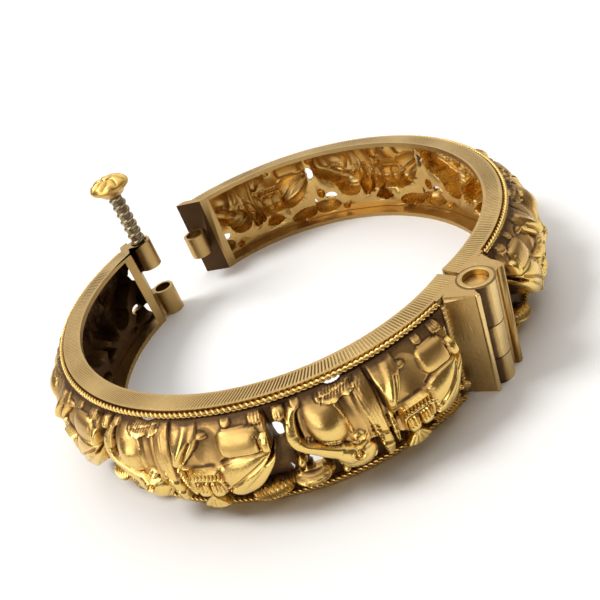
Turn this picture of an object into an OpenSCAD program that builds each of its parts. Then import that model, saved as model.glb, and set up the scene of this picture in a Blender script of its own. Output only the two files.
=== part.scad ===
// Hinged kada bangle: two halves with flat rails, rope wires and a pierced elephant frieze,
// a barrel hinge at one side and a screw clasp at the other. It lies on its lower rails.

/* [Ring] */
// Diameter of the wrist opening
inner_d = 60; // [56:0.5:66]
// Height of the bangle along the wrist
height = 15.4; // [15:0.1:16]
// Radial width of the upper flat rails
rail_w = 2.65; // [2.4:0.05:3.2]
// Radial width of the lower flat rails
low_rail_w = 3.4; // [2.8:0.05:3.6]
// Thickness of the flat rails
rail_t = 0.8; // [0.7:0.05:1.2]
// Diameter of the rope wires on the rails' outer edges
rope_d = 0.75; // [0.65:0.05:0.9]
// How far the back half stands open in the rest pose, in degrees
open_angle = 9.4; // [0:0.1:60]

/* [Hinge] */
// Outer diameter of the hinge barrel
barrel_d = 4.6; // [4.2:0.1:5]
// Diameter of the bore through the knuckles
pin_bore_d = 3.2; // [2.6:0.1:3.4]
// Radial clearance of the pin in its bore
pin_clearance = 0.05; // [0.02:0.01:0.1]
// How deep the pin's upper end sits below the top
pin_recess = 0.7; // [0.4:0.1:1.2]
// Height of the joint between the lower and the middle knuckle
low_joint_z = 4.2; // [3.6:0.1:5]
// Height of the joint between the middle and the upper knuckle
high_joint_z = 9.2; // [8.4:0.1:10]
// Outer radius of the front half's sleeve round the barrel
front_sleeve_r = 3.25; // [3.1:0.05:3.5]
// Outer radius of the back half's sleeve round the barrel
back_sleeve_r = 3.9; // [3.4:0.05:4.1]

/* [Clasp] */
// Distance of the clasp's axis from the centre of the wrist opening
clasp_r = 31.1; // [30.8:0.1:31.4]
// Outer diameter of the tubular lugs
lug_d = 4.0; // [3.8:0.1:4.2]
// Diameter of the bore through the lugs
lug_bore_d = 3.0; // [2.9:0.05:3.1]
// Thickness of the slanted end plates
plate_t = 1.4; // [1.2:0.1:1.6]
// Slant of the end plates away from the closing line, in degrees
plate_slant = 33; // [30:1:36]
// Diameter over the thread's crests
thread_d = 2.8; // [2.6:0.05:2.8]
// Diameter at the thread's root
thread_root_d = 2.1; // [1.9:0.05:2.3]
// Pitch of the thread
thread_pitch = 1.44; // [1.2:0.06:1.8]
// Length of the screw's shaft
shaft_l = 14.4; // [14:0.1:14.6]
// How far the screw stands raised in the rest pose
screw_lift = 9.8; // [0:0.1:9.8]
// Diameter of the screw's button head
head_d = 7.0; // [6:0.1:8]

/* [Elephants] */
// Radius of the frieze's ground
ground_r = 33.3; // [33.2:0.05:33.6]
// Wall of the hollow figures, measured along the radius
figure_wall = 0.7; // [0.5:0.05:0.9]
// How strongly the figures stand out, as a factor on every rise
relief = 1.0; // [0.8:0.05:1.1]
// Grid cells along one figure
cells_along = 28; // [24:1:28]
// Grid cells up one figure
cells_up = 15; // [12:1:15]

/* [Hidden] */
$fn = 96;

// Middle of the open bangle's box, seen from the centre of the front half's wrist opening
box_middle_x = 0.85;
box_middle_y = 2.95;

// Ring
inner_r = inner_d / 2;
rail_r = inner_r + rail_w;
low_rail_r = inner_r + low_rail_w;
rope_seat = rope_d / 2 + 0.02;
rope_edge = 0.07;
rope_to_a = 173.8;
end_gap = 0.2;
big = 60;

// Hinge
barrel_r = barrel_d / 2;
hinge_x = rail_r + barrel_r + 0.15;
knuckle_gap = 0.16;
swing_gap = 0.2;
jamb_t = 1.0;
jamb_w = 1.7;
flank_t = 1.0;
edge_wire_r = 0.5;
block_depth = 4.5;
pin_foot = 0.3;

// Clasp
lug_r = lug_d / 2;
plate_gap = 0.2;
plate_edge_r = rail_r + 1.45;
apex_x = -clasp_r - (lug_r + plate_gap) / sin(plate_slant);
web_w = 2.4;
web_root = 0.3;
web_start = lug_bore_d / 2 + 0.08;
lug_gap = 0.3;
low_lug_z = 5.2;
high_lug_z = 10.2;
head_socket = 1.2;
fit_gap = 0.02;

// Frieze
figures = 4;
start_a = 9.3;
end_a = 173.7;
pitch_a = (end_a - start_a) / figures;
figure_gap_a = 0.1;
map_r = 35;
figure_l = pitch_a * PI / 180 * map_r;
figure_low = rail_t + 0.08;
figure_high = height - rail_t - 0.08;
dome_power = 0.65;

// Section of the frieze: it swells from both rails towards the saddle cloths
swell_top = 0.3;
swell_slope = 0.36;
swell_foot = 0.4;
swell_foot_slope = 0.5;
swell_most = 2.3;
limit_top = 0.3;
limit_slope = 1.3;
limit_power = 4;

// Columns of the table of relief forms
ALONG = 0;
UP = 1;
HALF_LONG = 2;
HALF_WIDE = 3;
TURN = 4;
RISE = 5;

// Domed forms of one figure, which lies with its feet at the upper rail and its rump at the hinge:
// place along the figure and up from the base, half length, half width, turn and rise
FORMS = [
    [4.7, 8.3, 3.6, 2.1, -40, 3.1],   // upper side of the thigh
    [4.4, 6.6, 3.6, 1.7, -42, 4.0],   // lower side of the thigh
    [4.8, 11.9, 2.6, 2.0, 0, 2.9],    // hind shank and foot
    [11.3, 12.0, 3.1, 1.6, -76, 3.7], // foreleg
    [9.2, 13.2, 1.0, 0.9, 0, 2.5],    // tip of the knee
    [9.4, 6.8, 2.9, 3.2, 0, 3.6],     // saddle cloth
    [10.0, 3.5, 1.7, 1.6, 0, 3.3],    // fan leaf below the saddle cloth
    [14.3, 10.0, 4.4, 1.3, 84, 3.2],  // collar
    [13.8, 5.4, 2.7, 1.2, 90, 3.5],   // collar fringe
    [12.5, 7.0, 3.0, 0.9, 90, 3.1],   // girth
    [19.3, 10.5, 3.0, 2.1, 75, 3.6],  // temple
    [16.5, 10.6, 3.3, 1.4, 85, 3.2],  // ear
    [17.3, 5.9, 2.7, 2.3, 22, 4.2],   // face
    [20.2, 8.0, 2.5, 1.4, 22, 3.8],   // root of the trunk
    [22.6, 9.3, 1.8, 1.1, 50, 3.2],   // bend of the trunk
    [23.3, 11.2, 2.2, 1.0, 95, 2.9],  // rising trunk
    [22.5, 13.1, 1.1, 0.9, -40, 1.9], // tip of the trunk
    [17.0, 13.4, 2.6, 1.0, 0, 1.8],   // leaf by the upper rail
    [23.2, 2.8, 2.9, 1.5, 0, 1.9],    // pod
    [23.8, 5.9, 1.1, 0.9, 90, 1.9],   // bead above the pod
    [21.8, 13.8, 0.8, 0.8, 0, 1.4],   // bead by the trunk
    [5.6, 13.8, 0.9, 0.8, 0, 1.4],    // bead above the hind foot
    [2.4, 13.5, 1.3, 1.0, 0, 1.5],    // bud over the hind foot
    [24.3, 13.5, 1.0, 1.0, 0, 1.5],   // bud over the seam
    [2.2, 2.4, 0.8, 0.8, 0, 1.5],     // bead under the thigh
    [4.3, 2.6, 2.6, 1.2, -8, 2.2]     // fringe under the thigh
];

// Columns of the table of openings
FROM_ALONG = 0;
TO_ALONG = 1;
FROM_UP = 2;
TO_UP = 3;

// Pierced openings through one figure
OPENINGS = [
    [24.1, 25.2, 9.6, 12.4],  // between the trunk and the next hind foot
    [0.0, 1.0, 9.6, 12.4],    // behind the hind foot
    [20.6, 23.0, 3.8, 5.6],   // under the trunk
    [0.2, 0.9, 3.8, 5.1],     // behind the thigh
    [15.6, 18.0, 13.7, 14.6]  // above the leaf
];

// Places a half's pieces in the part's frame
module in_place() {
    translate([-box_middle_x, -box_middle_y, 0]) children();
}

// Mirrors a front piece to the back half and swings it open about the hinge
module on_back() {
    translate([hinge_x, 0, 0]) rotate([0, 0, -open_angle]) translate([-hinge_x, 0, 0])
        mirror([0, 1, 0]) children();
}

// Plan of a ring of the front half, cut at the hinge line and inside the slanted end plate
module half_ring(r_in, r_out) {
    difference() {
        circle(r = r_out);
        circle(r = r_in);
        translate([-big, -end_gap / 2]) square([2 * big, big]);
        along_face() translate([-5, -plate_t / 2]) square(20);
    }
}

// Places a plan on the slanted end face, its x along the face and its y into the clasp's gap
module along_face() {
    translate([apex_x, 0]) rotate(-plate_slant) children();
}

// Plan of a sector that opens from the angle a to the angle b
module sector(radius, a, b) {
    steps = 4;
    polygon(concat([[0, 0]], [for (i = [0:steps])
        radius * [cos(a + (b - a) * i / steps), sin(a + (b - a) * i / steps)]]));
}

// Slanted plate that closes the clasp end of a half
module end_plate() {
    linear_extrude(height) intersection() {
        difference() {
            circle(r = plate_edge_r);
            circle(r = inner_r);
        }
        along_face() translate([0, -plate_t]) square([10, plate_t]);
    }
}

// Tubular lug with the web that joins it to its end plate
module lug(z_low, z_high) {
    translate([-clasp_r, 0, z_low]) {
        cylinder(r = lug_r, h = z_high - z_low);
        rotate([0, 0, -plate_slant]) translate([-web_w / 2, -lug_r - plate_gap - web_root, 0])
            cube([web_w, lug_r + plate_gap + web_root - web_start, z_high - z_low]);
    }
}

module lug_bore() {
    translate([-clasp_r, 0, -1]) cylinder(d = lug_bore_d, h = height + 2);
}

// Block that hugs the barrel, from the rails round to the outside, with a flat outer face
module sleeve(radius) {
    linear_extrude(height) translate([hinge_x, 0]) difference() {
        union() {
            intersection() {
                circle(r = radius);
                sector(2 * radius, -172, -66);
            }
            polygon([[-2.2, -block_depth], [1.75, -3.15], [1.4, -2.6], [-2.6, -2.0]]);
        }
        circle(r = barrel_r - 0.2);
    }
}

// Upright walls between the rails at the hinge end, with the hatched edge wire
module hinge_end() {
    wire_a = -start_a + 0.95;
    linear_extrude(height) intersection() {
        half_ring(rail_r - jamb_w, rail_r);
        translate([inner_r, -end_gap / 2 - jamb_t]) square([rail_w + 1, jamb_t]);
    }
    linear_extrude(height) intersection() {
        half_ring(rail_r - flank_t + 0.35, rail_r + 0.35);
        sector(big, -start_a + 0.15, -2.5);
    }
    rotate([0, 0, wire_a]) translate([rail_r + 0.5, 0, rail_t])
        cylinder(r = edge_wire_r, h = height - 2 * rail_t);
}

// The two flat rails of a half; the lower one is wider from the edge wire on
module rails() {
    translate([0, 0, height - rail_t]) linear_extrude(rail_t) half_ring(inner_r, rail_r);
    linear_extrude(rail_t) difference() {
        half_ring(inner_r, low_rail_r);
        difference() {
            sector(big, -start_a, 1);
            circle(r = rail_r);
        }
    }
}

module knuckle(z_low, z_high) {
    translate([hinge_x, 0, z_low]) cylinder(r = barrel_r, h = z_high - z_low);
}

// Room that a half leaves for the other half's knuckle
module knuckle_room(z_low, z_high) {
    translate([hinge_x, 0, z_low]) cylinder(r = barrel_r + swing_gap, h = z_high - z_low);
}

module pin_bore() {
    translate([hinge_x, 0, -1]) cylinder(d = pin_bore_d, h = height + 2);
}

module front_half() {
    difference() {
        union() {
            difference() {
                union() {
                    rails();
                    hinge_end();
                    sleeve(front_sleeve_r);
                }
                knuckle_room(low_joint_z - knuckle_gap / 2, high_joint_z + knuckle_gap / 2);
            }
            knuckle(0, low_joint_z - knuckle_gap / 2);
            knuckle(high_joint_z + knuckle_gap / 2, height);
            end_plate();
            lug(0, low_lug_z);
            lug(high_lug_z, height);
        }
        pin_bore();
        lug_bore();
    }
}

module back_half() {
    difference() {
        union() {
            difference() {
                union() {
                    rails();
                    hinge_end();
                    sleeve(back_sleeve_r);
                }
                knuckle_room(-1, low_joint_z + knuckle_gap / 2);
                knuckle_room(high_joint_z - knuckle_gap / 2, height + 1);
            }
            knuckle(low_joint_z + knuckle_gap / 2, high_joint_z - knuckle_gap / 2);
            end_plate();
            lug(low_lug_z + lug_gap, high_lug_z - lug_gap);
        }
        pin_bore();
        lug_bore();
    }
}

// Rope wire of a half: its envelope, a round wire bent round a rail of the given radius
module rope(edge_r, z) {
    rotate_by = rope_to_a - start_a;
    translate([0, 0, z]) rotate([0, 0, -rope_to_a]) rotate_extrude(angle = rotate_by, $fn = 180)
        translate([edge_r + rope_seat, 0]) circle(d = rope_d, $fn = 32);
}

rope_high_z = height - rope_edge - rope_d / 2;
rope_low_z = rope_edge + rope_d / 2;

// Height of one domed form above the ground at a place, or 0 outside it
function form_height(form, along, up) =
    let (
        du = along - form[ALONG],
        dv = up - form[UP],
        long = (du * cos(form[TURN]) + dv * sin(form[TURN])) / form[HALF_LONG],
        wide = (dv * cos(form[TURN]) - du * sin(form[TURN])) / form[HALF_WIDE],
        away = long * long + wide * wide
    )
    away < 1 ? form[RISE] * relief * pow(1 - away, dome_power) : 0;

// Height of the swelling section that carries the forms
function swell(up) = relief * min(
    swell_top + swell_slope * (figure_high - up),
    swell_foot + swell_foot_slope * (up - figure_low),
    swell_most);

// Holds a height softly below what the distance from the upper rail allows
function held(rise, up) =
    let (limit = limit_top + limit_slope * (figure_high - up))
    rise / pow(1 + pow(rise / limit, limit_power), 1 / limit_power);

// Radius of the frieze's face at a place on a figure
function face_r(along, up) = ground_r
    + held(max(swell(up), max([for (form = FORMS) form_height(form, along, up)])), up);

function is_open(along, up) = len([for (gap = OPENINGS)
    if (along > gap[FROM_ALONG] && along < gap[TO_ALONG] && up > gap[FROM_UP] && up < gap[TO_UP])
        1]) > 0;

// One figure as a shell: a grid of points on the face, the same grid on the hollow back, and
// walls wherever a cell ends at the figure's edge or at an opening
module elephant(number) {
    columns = cells_along + 1;
    rows = cells_up + 1;
    sheet = columns * rows;
    first_a = start_a + (number - 1) * pitch_a + figure_gap_a / 2;
    step_a = (pitch_a - figure_gap_a) / cells_along;
    step_up = (figure_high - figure_low) / cells_up;
    step_along = figure_l / cells_along;

    function at(r, i, j) =
        let (a = -first_a - i * step_a) [r * cos(a), r * sin(a), figure_low + j * step_up];
    function solid_cell(i, j) = i >= 0 && j >= 0 && i < cells_along && j < cells_up
        && !is_open((i + 0.5) * step_along, figure_low + (j + 0.5) * step_up);
    function corner(side, i, j) = side * sheet + j * columns + i;
    function wall(a, b) = [[a, b, b + sheet], [a, b + sheet, a + sheet]];

    face = [for (j = [0:cells_up]) for (i = [0:cells_along])
        face_r(i * step_along, figure_low + j * step_up)];
    points = concat(
        [for (j = [0:cells_up]) for (i = [0:cells_along]) at(face[j * columns + i], i, j)],
        [for (j = [0:cells_up]) for (i = [0:cells_along])
            at(face[j * columns + i] - figure_wall, i, j)]);
    faces = [for (j = [0:cells_up - 1]) for (i = [0:cells_along - 1]) if (solid_cell(i, j))
        let (
            a = corner(0, i, j),
            b = corner(0, i + 1, j),
            c = corner(0, i + 1, j + 1),
            d = corner(0, i, j + 1)
        )
        each concat(
            [[a, b, c], [a, c, d], [a + sheet, c + sheet, b + sheet], [a + sheet, d + sheet, c + sheet]],
            solid_cell(i, j - 1) ? [] : wall(b, a),
            solid_cell(i + 1, j) ? [] : wall(c, b),
            solid_cell(i, j + 1) ? [] : wall(d, c),
            solid_cell(i - 1, j) ? [] : wall(a, d))];
    polyhedron(points = points, faces = faces, convexity = 8);
}

// Pin of the hinge, recessed at its upper end
module pin() {
    translate([hinge_x, 0, pin_foot])
        cylinder(r = pin_bore_d / 2 - pin_clearance, h = height - pin_recess - pin_foot);
}

// Threaded shaft, its thread as stacked ridges, with a plain neck that enters the head
module shaft() {
    ridges = floor(shaft_l / thread_pitch);
    root = thread_root_d / 2;
    crest = thread_d / 2;
    flat = 0.15;
    top = height + screw_lift;
    outline = concat(
        [[0, head_socket], [root, head_socket]],
        [for (k = [0:ridges - 1]) let (z = -k * thread_pitch) each [
            [root, z - flat],
            [crest, z - thread_pitch / 2 + flat / 2],
            [crest, z - thread_pitch / 2 - flat / 2],
            [root, z - thread_pitch + flat]]],
        [[root * 0.7, -shaft_l], [0, -shaft_l]]);
    translate([-clasp_r, 0, top]) rotate_extrude() polygon(outline);
}

// Button head with a tapered underside and a low dome, open below for the shaft's neck
module head() {
    r = head_d / 2;
    socket_r = thread_root_d / 2 + fit_gap;
    translate([-clasp_r, 0, height + screw_lift]) rotate_extrude() polygon([
        [socket_r, 0], [r * 0.52, 0], [r * 0.62, 0.5], [r * 0.93, 1.25], [r, 1.6], [r, 1.9],
        [r * 0.9, 2.3], [r * 0.62, 2.75], [r * 0.55, 3.1], [r * 0.3, 3.4], [0, 3.5],
        [0, head_socket + fit_gap], [socket_r, head_socket + fit_gap]]);
}

module front_frame() {
    color("goldenrod") in_place() front_half();
}

module back_frame() {
    color("goldenrod") in_place() on_back() back_half();
}

module front_rope(edge_r, z) {
    color("gold") in_place() rope(edge_r, z);
}

module back_rope(edge_r, z) {
    color("gold") in_place() on_back() rope(edge_r, z);
}

module front_elephant(number) {
    color("darkgoldenrod") in_place() elephant(number);
}

module back_elephant(number) {
    color("darkgoldenrod") in_place() on_back() elephant(number);
}

module hinge_pin() {
    color("goldenrod") in_place() pin();
}

module screw_shaft() {
    color("dimgray") in_place() shaft();
}

module screw_head() {
    color("gold") in_place() head();
}

front_frame();
back_frame();
front_rope(rail_r, rope_high_z);  // front_rope_top
front_rope(low_rail_r, rope_low_z);  // front_rope_bottom
back_rope(rail_r, rope_high_z);  // back_rope_top
back_rope(low_rail_r, rope_low_z);  // back_rope_bottom
front_elephant(1);  // front_elephant_1
front_elephant(2);  // front_elephant_2
front_elephant(3);  // front_elephant_3
front_elephant(4);  // front_elephant_4
back_elephant(1);  // back_elephant_1
back_elephant(2);  // back_elephant_2
back_elephant(3);  // back_elephant_3
back_elephant(4);  // back_elephant_4
hinge_pin();
screw_shaft();
screw_head();
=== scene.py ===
"""Dresses the hinged kada bangle: cast elephant frieze, twisted rope wires, ribbed rails, screw clasp."""

import math

import bpy
import numpy as np
from mathutils import Matrix, Vector


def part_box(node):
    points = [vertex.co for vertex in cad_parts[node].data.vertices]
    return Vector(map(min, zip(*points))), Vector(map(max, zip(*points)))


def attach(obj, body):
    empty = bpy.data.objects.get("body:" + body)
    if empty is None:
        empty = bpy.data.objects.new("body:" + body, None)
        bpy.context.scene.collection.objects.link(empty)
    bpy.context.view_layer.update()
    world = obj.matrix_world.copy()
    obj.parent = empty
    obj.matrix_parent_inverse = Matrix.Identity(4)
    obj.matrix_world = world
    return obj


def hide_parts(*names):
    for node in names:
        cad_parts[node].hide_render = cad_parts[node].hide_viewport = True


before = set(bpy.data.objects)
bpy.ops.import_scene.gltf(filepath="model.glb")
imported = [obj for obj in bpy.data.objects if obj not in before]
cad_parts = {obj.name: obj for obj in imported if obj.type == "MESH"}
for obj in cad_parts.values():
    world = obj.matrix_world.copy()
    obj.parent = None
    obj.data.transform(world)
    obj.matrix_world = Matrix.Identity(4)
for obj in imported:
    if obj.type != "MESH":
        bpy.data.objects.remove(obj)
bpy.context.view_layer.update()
scene = bpy.context.scene
scene.view_settings.view_transform = "Standard"

# Sizes in millimetres, as the solids have them
MM = 0.001
HALVES = ("front", "back")
FIGURES = 4
INNER_R = 30.0
RAIL_W = 2.65
RAIL_R = INNER_R + RAIL_W
LOW_RAIL_W = 3.4
RAIL_T = 0.8
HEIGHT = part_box("front_frame")[1].z / MM
ROPE_D = 0.75
ROPE_SEAT = ROPE_D / 2 + 0.02
ROPE_EDGE = 0.07
ROPE_END = math.radians(173.8)
OPEN = math.radians(9.4)
MIDDLE_X = 0.85
MIDDLE_Y = 2.95
HINGE_X = RAIL_R + 2.45
CLASP_R = 31.1
LUG_R = 2.0
PLATE_GAP = 0.2
PLATE_SLANT = math.radians(33)
PLATE_X = -CLASP_R - (LUG_R + PLATE_GAP) / math.sin(PLATE_SLANT)
START = math.radians(9.3)
END = math.radians(173.7)
MAP_R = 35.0
GROUND_R = 33.3
FIGURE_L = (END - START) / FIGURES * MAP_R
FIGURE_LOW = RAIL_T + 0.08
FIGURE_HIGH = HEIGHT - RAIL_T - 0.08
WALL = 0.7

# Painted shade on each half's hollow backs and slanted end plate, from 0 for polished metal to 1: the front half's
# hollow backs and the back half's end plate are painted darker
HOLLOW_SHADE = {"front": 0.8, "back": 0.2}
PLATE_SHADE = {"front": 0.5, "back": 0.92}
# Marks the points of the hollow back until their half's own value takes its place
HOLLOW_MARK = 0.4567


# ---- Bench work: pieces are made flat in millimetres, x along the ring, y its radius, z up ----

def deselect():
    if bpy.context.object and bpy.context.object.mode != "OBJECT":
        bpy.ops.object.mode_set(mode="OBJECT")
    bpy.ops.object.select_all(action="DESELECT")


def pick(piece):
    """Makes one piece the selected and active one."""
    deselect()
    piece.select_set(True)
    bpy.context.view_layer.objects.active = piece


def points_of(piece):
    flat = np.empty(len(piece.data.vertices) * 3)
    piece.data.vertices.foreach_get("co", flat)
    return flat.reshape(-1, 3)


def set_points(piece, points):
    piece.data.vertices.foreach_set("co", np.ascontiguousarray(points).ravel())
    piece.data.update()


def select_faces(piece, chosen):
    """Selects exactly the chosen faces of a piece and opens it in edit mode."""
    pick(piece)
    bpy.ops.object.mode_set(mode="EDIT")
    bpy.ops.mesh.select_mode(type="FACE")
    bpy.ops.mesh.select_all(action="DESELECT")
    bpy.ops.object.mode_set(mode="OBJECT")
    piece.data.polygons.foreach_set("select", np.asarray(chosen, dtype=bool))
    bpy.ops.object.mode_set(mode="EDIT")


def face_centres(piece):
    flat = np.empty(len(piece.data.polygons) * 3)
    piece.data.polygons.foreach_get("center", flat)
    return flat.reshape(-1, 3)


def apply(piece, kind, **settings):
    """Adds one modifier with its settings and applies it."""
    pick(piece)
    modifier = piece.modifiers.new(kind.lower(), kind)
    for name, value in settings.items():
        setattr(modifier, name, value)
    bpy.ops.object.modifier_apply(modifier=modifier.name)


def close_ends(piece):
    """Fills the open rims of a swept piece and turns its faces outwards."""
    pick(piece)
    bpy.ops.object.mode_set(mode="EDIT")
    bpy.ops.mesh.select_mode(type="EDGE")
    bpy.ops.mesh.select_all(action="DESELECT")
    bpy.ops.mesh.select_non_manifold(extend=False, use_wire=False, use_multi_face=False,
                                     use_non_contiguous=False, use_verts=False)
    bpy.ops.mesh.fill_holes(sides=0)
    bpy.ops.mesh.select_all(action="SELECT")
    bpy.ops.mesh.normals_make_consistent(inside=False)
    bpy.ops.object.mode_set(mode="OBJECT")


def turned(outline, sides, fill="NOTHING"):
    """A turned piece: a circle drawn out ring by ring along an outline of radius and height."""
    deselect()
    bpy.ops.mesh.primitive_circle_add(vertices=sides, radius=outline[0][0], fill_type=fill)
    piece = bpy.context.object
    bpy.ops.object.mode_set(mode="EDIT")
    bpy.ops.mesh.select_mode(type="VERT")
    bpy.ops.mesh.select_all(action="SELECT")
    for (r0, z0), (r1, z1) in zip(outline, outline[1:]):
        bpy.ops.mesh.extrude_region_move(TRANSFORM_OT_translate={"value": (0, 0, z1 - z0)})
        bpy.ops.transform.resize(value=(r1 / r0, r1 / r0, 1.0), center_override=(0, 0, z1))
    bpy.ops.mesh.select_all(action="SELECT")
    bpy.ops.mesh.normals_make_consistent(inside=False)
    bpy.ops.object.mode_set(mode="OBJECT")
    return piece


def join(pieces):
    """Joins pieces into the first one."""
    deselect()
    for piece in pieces:
        piece.select_set(True)
    bpy.context.view_layer.objects.active = pieces[0]
    bpy.ops.object.join()
    return pieces[0]


def copy_of(piece):
    twin = piece.copy()
    twin.data = piece.data.copy()
    scene.collection.objects.link(twin)
    return twin


def round_ring(points):
    """Bends bench points round the front half's ring."""
    angle = -(START + points[:, 0] / MAP_R)
    return np.stack([points[:, 1] * np.cos(angle), points[:, 1] * np.sin(angle), points[:, 2]], axis=1)


def to_half(points, half):
    """Moves ring points to where that half lies in the frame, in metres."""
    x, y, z = points.T
    if half == "back":
        x, y = x - HINGE_X, -y
        x, y = HINGE_X + x * math.cos(OPEN) + y * math.sin(OPEN), y * math.cos(OPEN) - x * math.sin(OPEN)
    return np.stack([x - MIDDLE_X, y - MIDDLE_Y, z], axis=1) * MM


def set_in_half(piece, ring_points, half):
    """Sets a piece into its half; the back half is a mirror image, so its faces are turned round."""
    set_points(piece, to_half(ring_points, half))
    if half == "back":
        piece.data.flip_normals()


def set_on_front(piece, shift):
    """Moves a piece made at the origin to its place on the front half."""
    set_points(piece, to_half(points_of(piece) + np.array(shift), "front"))


def fit(piece, name, body, slot, finish, *nodes):
    """Names a finished piece, gives it its metal and hands it to its body."""
    piece.name = name
    piece.data.name = name
    piece.data.materials.clear()
    piece.data.materials.append(finish)
    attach(piece, body)
    if nodes:
        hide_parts(*nodes)


def smooth(piece, degrees):
    pick(piece)
    bpy.ops.object.shade_smooth_by_angle(angle=math.radians(degrees))


# ---- Metals ----

def new_group(name, inputs, outputs):
    """A shader node group with named inputs (name, kind, value) and outputs (name, kind)."""
    group = bpy.data.node_groups.new(name, "ShaderNodeTree")
    for label, kind, value in inputs:
        socket = group.interface.new_socket(label, in_out="INPUT", socket_type=kind)
        if value is not None:
            socket.default_value = value
    for label, kind in outputs:
        group.interface.new_socket(label, in_out="OUTPUT", socket_type=kind)
    return group, group.nodes.new("NodeGroupInput"), group.nodes.new("NodeGroupOutput")


def node(tree, kind, values=None, **settings):
    """Adds a node; values are set on its inputs, and a socket given as a value is linked instead."""
    made = tree.nodes.new(kind)
    for name, value in settings.items():
        setattr(made, name, value)
    for key, value in (values or {}).items():
        if isinstance(value, bpy.types.NodeSocket):
            tree.links.new(value, made.inputs[key])
        else:
            made.inputs[key].default_value = value
    return made


def maths(tree, operation, a, b):
    return node(tree, "ShaderNodeMath", {0: a, 1: b}, operation=operation).outputs[0]


def blend_colours(tree, factor, a, b):
    """A mix of two colours; they are the node's inputs 6 and 7, and the result is its output 2."""
    return node(tree, "ShaderNodeMix", {"Factor": factor, 6: a, 7: b}, data_type="RGBA").outputs[2]


def stretch(tree, value, low, high, to_low=0.0, to_high=1.0):
    return node(tree, "ShaderNodeMapRange", {0: value, 1: low, 2: high, 3: to_low, 4: to_high},
                interpolation_type="SMOOTHSTEP").outputs[0]


def make_aged_metal():
    """Worn metal: polished on high spots, satin between, brown patina where the recess value is high; painted
    shade and painted highlights put into that value show the same way.
    """
    group, given, put = new_group(
        "aged_metal",
        [("Coordinates", "NodeSocketVector", None), ("Recess and shade", "NodeSocketFloat", 0.3),
         ("Polished", "NodeSocketColor", None), ("Satin", "NodeSocketColor", None),
         ("Patina", "NodeSocketColor", None), ("Cloudiness", "NodeSocketFloat", 0.35)],
        [("Color", "NodeSocketColor"), ("Roughness", "NodeSocketFloat"), ("Height", "NodeSocketFloat")])
    where = given.outputs["Coordinates"]
    cloud = node(group, "ShaderNodeTexNoise", {"Vector": where, "Scale": 210.0, "Detail": 3.0}).outputs["Fac"]
    speck = node(group, "ShaderNodeTexNoise", {"Vector": where, "Scale": 2300.0, "Detail": 4.0}).outputs["Fac"]
    drift = maths(group, "MULTIPLY", maths(group, "SUBTRACT", cloud, 0.5), given.outputs["Cloudiness"])
    grain = maths(group, "MULTIPLY", maths(group, "SUBTRACT", speck, 0.5), 0.16)
    depth = maths(group, "ADD", maths(group, "ADD", given.outputs["Recess and shade"], drift), grain)
    patina = stretch(group, depth, 0.42, 0.95)
    polish = stretch(group, depth, 0.40, 0.08)
    metal = blend_colours(group, polish, given.outputs["Satin"], given.outputs["Polished"])
    colour = blend_colours(group, patina, metal, given.outputs["Patina"])
    shine = maths(group, "SUBTRACT", 0.34, maths(group, "MULTIPLY", polish, 0.13))
    rough = maths(group, "ADD", shine, maths(group, "MULTIPLY", patina, 0.22))
    rough = maths(group, "ADD", rough, maths(group, "MULTIPLY", maths(group, "SUBTRACT", speck, 0.5), 0.08))
    group.links.new(colour, put.inputs["Color"])
    group.links.new(rough, put.inputs["Roughness"])
    group.links.new(maths(group, "ADD", speck, maths(group, "MULTIPLY", cloud, 0.6)), put.inputs["Height"])
    return group


def make_fine_scratches():
    """Hairlines and small dents from wear, as a height."""
    group, given, put = new_group(
        "fine_scratches",
        [("Coordinates", "NodeSocketVector", None), ("Density", "NodeSocketFloat", 1.0)],
        [("Height", "NodeSocketFloat")])
    total = None
    for turn in (0.4, 1.7, 2.6):
        lay = node(group, "ShaderNodeMapping", {"Vector": given.outputs["Coordinates"],
                                                "Rotation": (turn, turn * 1.3, turn * 0.7),
                                                "Scale": (1.0, 14.0, 1.0)}).outputs[0]
        hair = node(group, "ShaderNodeTexNoise", {"Vector": lay, "Scale": 700.0, "Detail": 1.0}).outputs["Fac"]
        line = stretch(group, hair, 0.60, 0.66)
        total = line if total is None else maths(group, "ADD", total, line)
    group.links.new(maths(group, "MULTIPLY", total, given.outputs["Density"]), put.inputs["Height"])
    return group


AGED_METAL = make_aged_metal()
FINE_SCRATCHES = make_fine_scratches()


CLOUDINESS = 0.35
SCRATCHES = 0.25


def metal_finish(name, polished, satin, patina, recess_and_shade=None, bump=0.014, painted_inner_shade=0.0):
    """A metal of this bangle; where no recess is given, it comes from the piece's own attribute."""
    finish = bpy.data.materials.new(name)
    finish.use_nodes = True
    tree = finish.node_tree
    shader = tree.nodes["Principled BSDF"]
    shader.inputs["Metallic"].default_value = 1.0
    where = node(tree, "ShaderNodeTexCoord").outputs["Object"]
    depth = recess_and_shade
    if recess_and_shade is None:
        depth = node(tree, "ShaderNodeAttribute", attribute_name="recess_and_shade").outputs["Fac"]
    # Painted shade: surfaces that face the middle of the opening are made darker
    if painted_inner_shade:
        depth = paint_inner_shade(tree, where, depth, painted_inner_shade)
    aged = node(tree, "ShaderNodeGroup",
                {"Coordinates": where, "Recess and shade": depth, "Polished": (*polished, 1.0), "Satin": (*satin, 1.0),
                 "Patina": (*patina, 1.0), "Cloudiness": CLOUDINESS}, node_tree=AGED_METAL)
    worn = node(tree, "ShaderNodeGroup", {"Coordinates": where, "Density": SCRATCHES}, node_tree=FINE_SCRATCHES)
    tree.links.new(aged.outputs["Color"], shader.inputs["Base Color"])
    tree.links.new(aged.outputs["Roughness"], shader.inputs["Roughness"])
    height = maths(tree, "SUBTRACT", aged.outputs["Height"], worn.outputs["Height"])
    relief = node(tree, "ShaderNodeBump", {"Strength": 1.0, "Distance": bump * MM, "Height": height})
    tree.links.new(relief.outputs[0], shader.inputs["Normal"])
    return finish


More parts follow.
